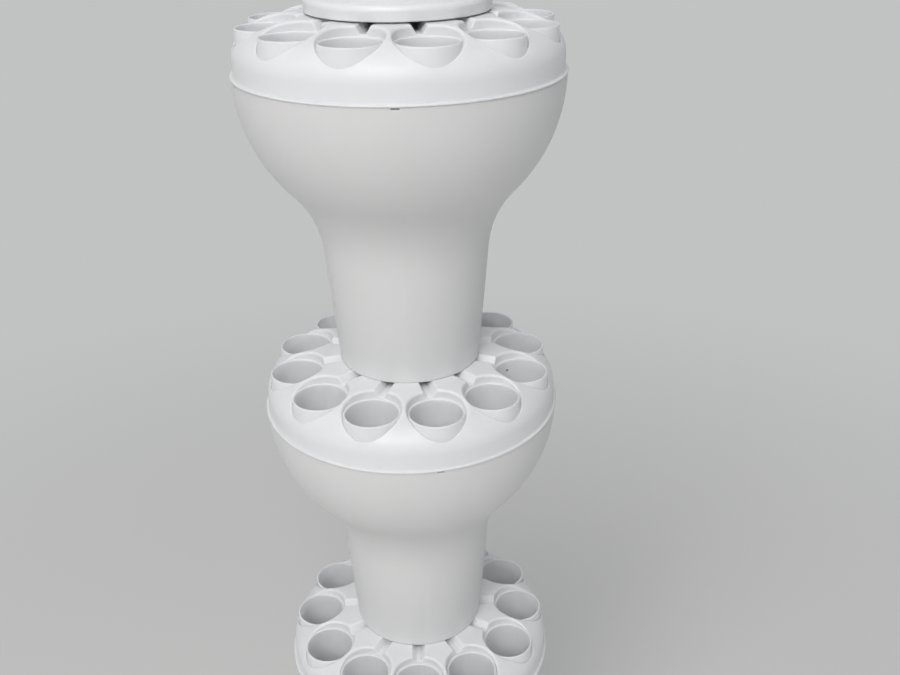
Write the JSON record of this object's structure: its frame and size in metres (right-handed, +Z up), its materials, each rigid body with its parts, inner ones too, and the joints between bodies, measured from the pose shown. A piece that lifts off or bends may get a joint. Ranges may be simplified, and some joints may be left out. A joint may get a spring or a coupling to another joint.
{
  "type": "vertical planter tower",
  "caption": "Free-standing round planter tower: stacked bowls with necks, domed lids with rings of net-pot sockets and water channels, a cap, and a pumped water tank as its base.",
  "frame": {"origin": "on the tower's axis, on the floor under the tank's pads", "axes": "+Z up along the tower; -Y is the side that faces the camera in the picture, +X its right"},
  "size_m": [0.422, 0.422, 1.376],
  "materials": {
    "bowl_white": "smooth white moulded plastic, soft gloss",
    "lid_white": "smooth white moulded plastic, a little glossier than the bowls",
    "cap_white": "smooth white moulded plastic",
    "tank_white": "smooth white moulded plastic, soft gloss",
    "tank_lid_white": "smooth white moulded plastic",
    "fill_cap_white": "smooth white moulded plastic",
    "rubber_grey": "dark grey rubber",
    "rubber_black": "black rubber",
    "pump_black": "black moulded plastic, fine grain",
    "impeller_white": "off-white moulded plastic",
    "shaft_steel": "polished steel pin",
    "fitting_grey": "grey moulded plastic",
    "pipe_white": "white plastic pipe, satin"
  },
  "bodies": {
    "base": {"tank": "tank_white", "tank_foot_pads": "rubber_grey", "pump_housing": "pump_black", "pump_chamber_cover": "pump_black", "pump_strainer": "pump_black", "pump_shaft": "shaft_steel", "pump_feet": "rubber_black", "riser_adapter": "fitting_grey", "riser_lower": "pipe_white", "riser_joiner_lower": "fitting_grey", "riser_middle": "pipe_white", "riser_joiner_upper": "fitting_grey", "riser_upper": "pipe_white"},
    "impeller": {"pump_impeller": "impeller_white"},
    "tank_top": {"tank_lid": "tank_lid_white", "cable_grommet": "rubber_black"},
    "filling_cap": {"fill_cap": "fill_cap_white"},
    "bowl_3": {"bowl_3": "bowl_white"},
    "lid_3": {"lid_3": "lid_white"},
    "bowl_2": {"bowl_2": "bowl_white"},
    "lid_2": {"lid_2": "lid_white"},
    "bowl_1": {"bowl_1": "bowl_white"},
    "lid_1": {"lid_1": "lid_white", "spray_head": "fitting_grey"},
    "cap": {"top_cap": "cap_white"}
  },
  "joints": [
    {"name": "tank_lid_lift", "type": "slide", "parent": "base", "child": "tank_top", "axis": [0, 0, 1], "range_m": [0, 0.05]},
    {"name": "fill_cap_lift", "type": "slide", "parent": "tank_top", "child": "filling_cap", "axis": [0, 0, 1], "range_m": [0, 0.03]},
    {"name": "bowl_3_turn", "type": "hinge", "parent": "tank_top", "child": "bowl_3", "pos_m": [0, 0, 0.27], "axis": [0, 0, 1], "continuous": true},
    {"name": "lid_3_lift", "type": "slide", "parent": "bowl_3", "child": "lid_3", "axis": [0, 0, 1], "range_m": [0, 0.06]},
    {"name": "bowl_2_turn", "type": "hinge", "parent": "lid_3", "child": "bowl_2", "pos_m": [0, 0, 0.627], "axis": [0, 0, 1], "continuous": true},
    {"name": "lid_2_lift", "type": "slide", "parent": "bowl_2", "child": "lid_2", "axis": [0, 0, 1], "range_m": [0, 0.06]},
    {"name": "bowl_1_turn", "type": "hinge", "parent": "lid_2", "child": "bowl_1", "pos_m": [0, 0, 0.984], "axis": [0, 0, 1], "continuous": true},
    {"name": "lid_1_lift", "type": "slide", "parent": "bowl_1", "child": "lid_1", "axis": [0, 0, 1], "range_m": [0, 0.06]},
    {"name": "top_cap_lift", "type": "slide", "parent": "lid_1", "child": "cap", "axis": [0, 0, 1], "range_m": [0, 0.06]},
    {"name": "impeller_spin", "type": "hinge", "parent": "base", "child": "impeller", "pos_m": [0, 0, 0.0395], "axis": [1, 0, 0], "continuous": true}
  ]
}
